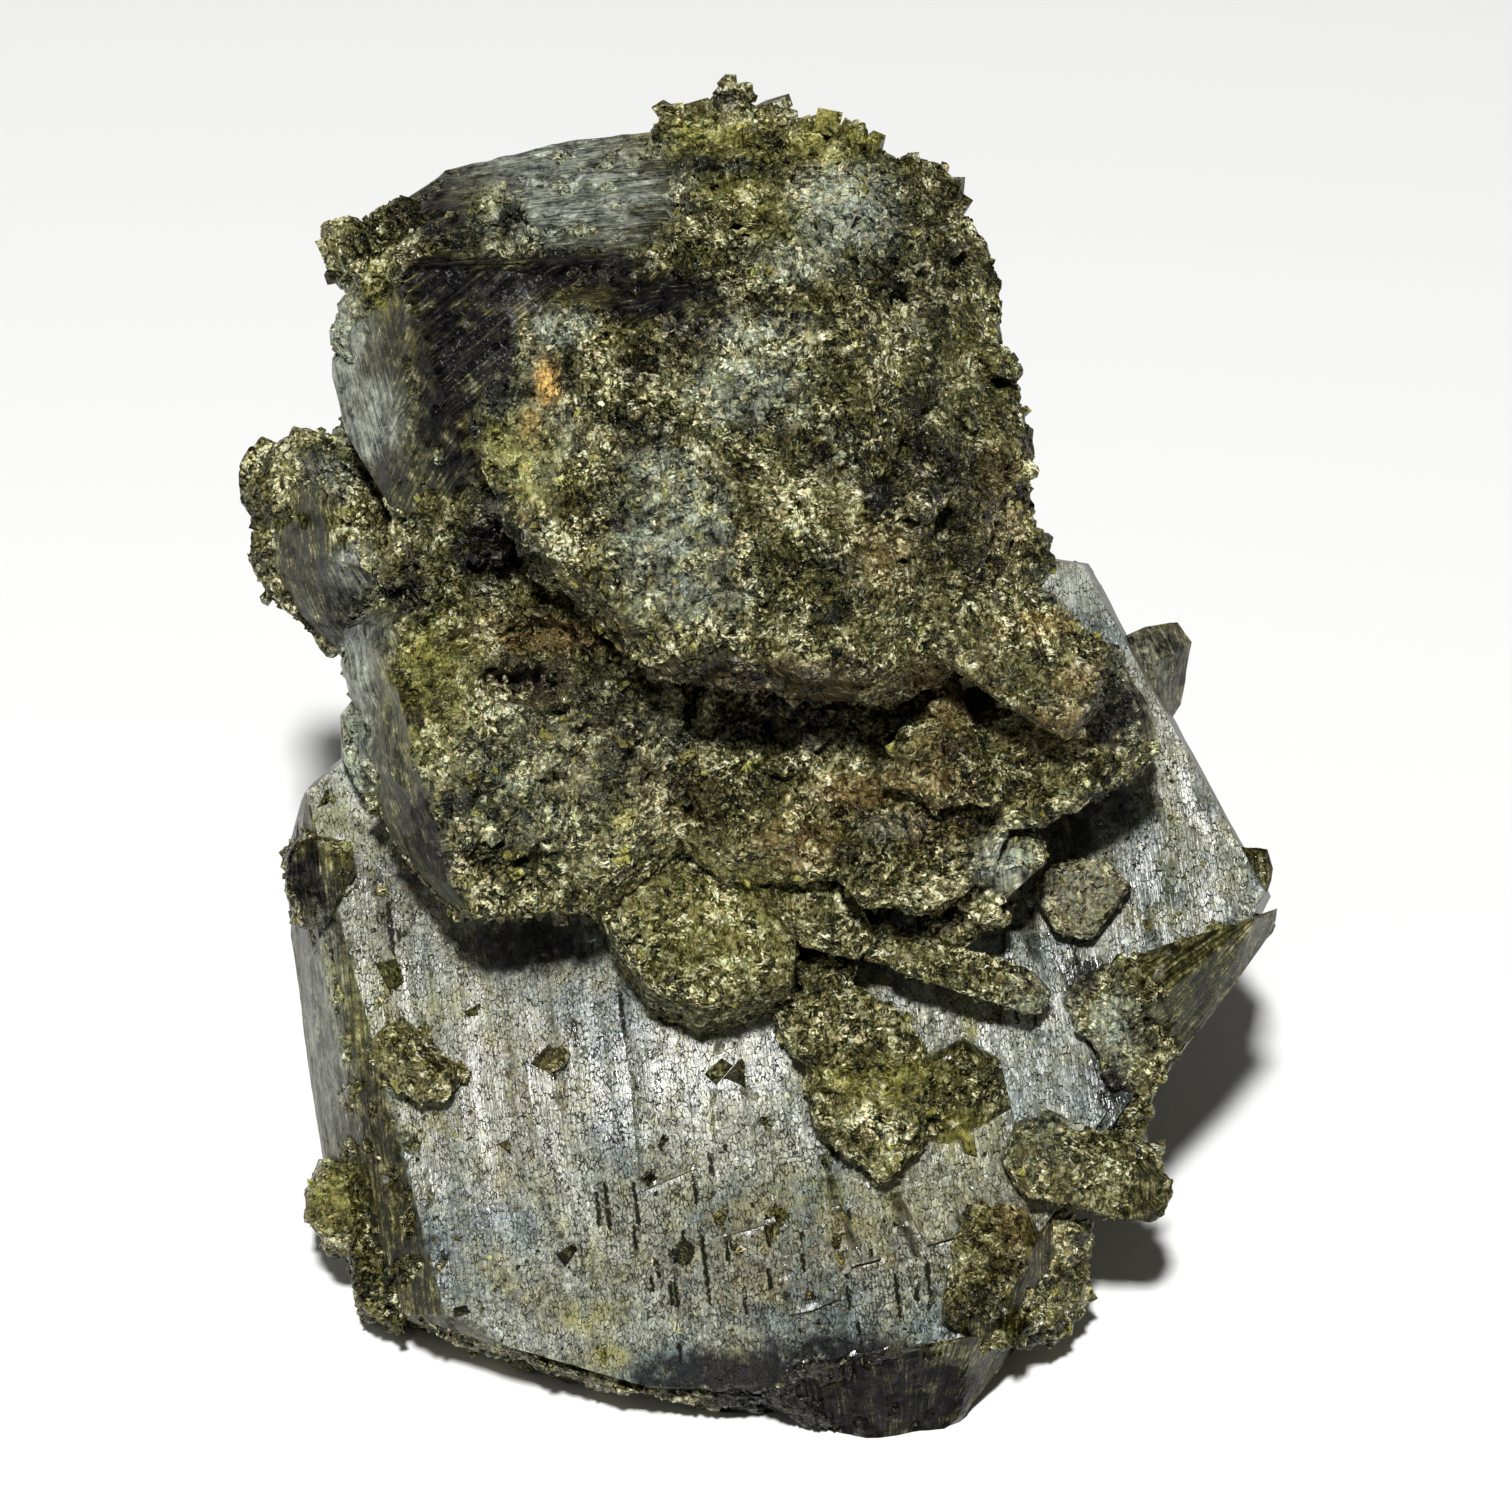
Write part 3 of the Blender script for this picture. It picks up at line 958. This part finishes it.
BLOCK = np.array([(x, y, z) for z in (-1, 1) for y in (-1, 1) for x in (-1, 1)], float)
BLOCK_SIDES = np.array([(0, 2, 3, 1), (4, 5, 7, 6), (0, 1, 5, 4), (2, 6, 7, 3), (0, 4, 6, 2), (1, 3, 7, 5)])
# Each side of a block has its own place in the map that a bake draws on.
SIDE_CORNERS = np.array([(0.04, 0.04), (0.96, 0.04), (0.96, 0.96), (0.04, 0.96)])
WEDGES, WEDGE_TOP = 0.4, 0.15  # how many are wedges, and how wide the top of a wedge is
SLANT = 0.45  # how steep the top is at the most
LIME_SHARE = 0.15  # how many are lime green all over
DRUSE_LOWEST = 0.02 * MM


def druse(name, spots, sizes, tones):
    """Tiny crystals at these spots, with these sizes in mm, as one mesh."""
    many = len(spots)
    shape = np.repeat(BLOCK[None], many, 0)
    top = shape[:, :, 2] > 0
    pinch = np.where(rng.random(many) < WEDGES, WEDGE_TOP, rng.uniform(0.55, 1, many))
    shape[:, :, 1] *= np.where(top, pinch[:, None], 1)
    shape[:, :, 0] *= np.where(top, rng.uniform(0.6, 1, many)[:, None], 1)
    slant = rng.uniform(-SLANT, SLANT, (many, 2))
    shape[:, :, 2] += top * (slant[:, :1] * shape[:, :, 0] + slant[:, 1:] * shape[:, :, 1])
    girth = np.stack([rng.uniform(*ends, many) for ends in ((0.6, 1.1), (0.5, 0.95), (0.7, 1.4))], 1)
    shape *= (girth * sizes[:, None] / 2 * MM)[:, None]
    points = np.einsum("nij,nkj->nki", turned_anyhow(many), shape) + spots[:, None]
    points[:, :, 2] = np.maximum(points[:, :, 2], DRUSE_LOWEST)
    quads = (BLOCK_SIDES[None] + 8 * np.arange(many)[:, None, None]).reshape(-1, 4)
    mesh = bpy.data.meshes.new(name)
    mesh.from_pydata(kept_inside(points.reshape(-1, 3)), [], quads)
    wide = math.ceil(math.sqrt(many * 6))
    number = np.arange(many * 6)
    corner = np.stack([number % wide, number // wide], 1)[:, None] + SIDE_CORNERS
    mesh.uv_layers.new(name="OFBake").data.foreach_set("uv", (corner / wide).astype(np.float32).ravel())
    own_stains = stains_at(spots)
    own_stains["lime"] = np.maximum(own_stains["lime"], rng.random(many) < LIME_SHARE)
    keep_values(mesh, {"tone": tones, **own_stains}, 8)
    mesh.materials.append(druse_finish)
    crystals = placed(name, mesh)
    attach(crystals, "root")


SPECKLED = [  # where small crystals sit on the broad face, and how thickly
    ([(-20, -33), (17, -31), (14, -39), (0, -43), (-20, -39)], 0.04),
    ([(6, -17), (19, -17), (19, -29), (6, -28)], 0.06),
    ([(-31, -1), (-26, 1), (-21, -12), (-28, -14)], 0.04),
    ([(-28, -14), (-21, -12), (-16, -32), (-22, -38), (-30, -20)], 0.03),
    ([(22, 12), (34, -8), (30, -12), (20, -6)], 0.03),
]
SPECKLED_ELSEWHERE = 0.0003
specks = np.where(face_crusted < RIM_AT, SPECKLED_ELSEWHERE, 0) * off_foot * on_front
for outline, share in SPECKLED:
    specks[within(face_seen, outline) & is_broad[facet] & (face_crusted < RIM_AT)] = share
FLAKY = [  # where the crust carries coarser flakes, and how many times as large they are
    ([(-24, 11), (-8, 9), (-2, -2), (-12, -13), (-20, -9)], 1.6),
    ([(-12, 45), (9, 45), (7, 33), (-9, 31)], 1.6),
]
DRUSE_RAISED = 0.14  # how far the middle of a crystal stands out of the ground, in sizes
DRUSE_SIZES_STRAY, DRUSE_TONE = 0.42, 0.5
THINNER = 0.7  # how many fewer grow where the crust is calm
for name, weight, spacing, middle_size in (
    ("druse_on_front", grown_over * on_front * (1 - THINNER * calm[corners].mean(1)), 0.95, 0.28),
    ("druse_on_back", (grown_over & ~on_front).astype(float), 1.5, 0.6),
    ("specks_on_faces", specks, 0.5, 0.22),
):
    on_face, spots, raised = scattered(weight, spacing)
    sizes = middle_size * np.clip(rng.lognormal(0, DRUSE_SIZES_STRAY, len(spots)), SMALLEST, LARGEST)
    for outline, larger in FLAKY:
        sizes[within(as_seen(spots), outline)] *= larger
    if name != "specks_on_faces":
        spots = spots + face_normal[on_face] * ((raised + DRUSE_RAISED * sizes) * MM)[:, None]
    druse(name, spots, sizes, np.clip(rng.normal(DRUSE_TONE, TONE_STRAYS, len(spots)), 0, 1))

CHIPS = np.array([  # single dark crystals on the broad face: across, up and size in mm
    (-13.3, -19.9, 2.3), (-14.3, -20.4, 1.6), (-1.4, -21.3, 1.7), (-2.5, -21, 1.6), (-12.5, -33.2, 1.5),
    (-4.7, -32.7, 1.7), (-6.3, -25.6, 0.8), (-7.3, -28.1, 0.9), (-2.3, -30.5, 1.2), (0.9, -31.3, 1.1),
    (-1.1, -33, 0.8), (-18.7, -16.7, 1.1), (-10, -40.2, 1), (-19.8, -37, 1.3), (-24.5, -14.4, 2),
    (-29, -2.8, 1.4), (26, -11.3, 0.9), (11.5, -36.5, 1.1), (-17, -26, 0.8), (3.8, -36, 0.9),
])
CHIP_SUNK, CHIP_TONE = 0.22, -0.5  # how far it is sunk in the stone, in sizes, and its dark tone
on_broad = np.flatnonzero(broad > 0.9)
gaps = np.linalg.norm(seen[on_broad, None, :2] - CHIPS[None, :, :2], axis=2)
under, chip_size = on_broad[gaps.argmin(0)], CHIPS[:, 2]
chip_at = places[under] - normals[under] * (CHIP_SUNK * chip_size * MM)[:, None]
druse("chips_on_broad_face", chip_at, chip_size, np.full(len(CHIPS), CHIP_TONE))

# The floor, the light and the camera. The cluster stands on a plain pale table under a key light
# high in front, with a soft light from the left and a pale room round it.

FLOOR_SIDE = 6  # metres
bpy.ops.mesh.primitive_plane_add(size=FLOOR_SIDE)
floor = bpy.context.object
floor.name = "floor"
floor_finish, _, floor_surface = new_finish("pale_table")
floor_surface.inputs["Base Color"].default_value = (0.86, 0.86, 0.85, 1)
floor_surface.inputs["Roughness"].default_value = 0.8
floor.data.materials.append(floor_finish)

centre = Vector((0, 0, 0.035))  # the middle of the cluster


def aimed(thing, spot, back):
    """Puts a light or camera at that spot, with its back turned that way."""
    thing.location = spot
    thing.rotation_mode = "QUATERNION"
    thing.rotation_quaternion = back.to_track_quat("Z", "Y")


def studio_light(name, azimuth, elevation, distance, side, power):
    """A square light that faces the cluster from that direction, in degrees and metres."""
    a, e = math.radians(azimuth), math.radians(elevation)
    way = Vector((math.sin(a) * math.cos(e), -math.cos(a) * math.cos(e), math.sin(e)))
    lamp = bpy.data.lights.new(name, "AREA")
    lamp.energy, lamp.size = power, side
    aimed(placed(name, lamp), centre + way * distance, way)


studio_light("key_light", -4, 55, 1.2, 0.09, 21)
studio_light("soft_light", -75, 30, 1, 0.9, 0.8)
world = bpy.data.worlds.new("pale_room")
world.use_nodes = True
world.node_tree.nodes["Background"].inputs["Color"].default_value = (1, 0.985, 0.95, 1)
world.node_tree.nodes["Background"].inputs["Strength"].default_value = 0.08
bpy.context.scene.world = world
bpy.context.scene.view_settings.view_transform = "Standard"

SENSOR, VIEW_WIDTH = 36, 100.8  # mm
lens = bpy.data.cameras.new("camera")
lens.sensor_width = SENSOR
lens.lens = SENSOR * EYE / VIEW_WIDTH
lens.clip_start = 0.01
camera = placed("camera", lens)
back = Vector((0, -COS, SIN))
aimed(camera, Vector(MIDDLE) * MM + back * EYE * MM, back)
bpy.context.scene.camera = camera
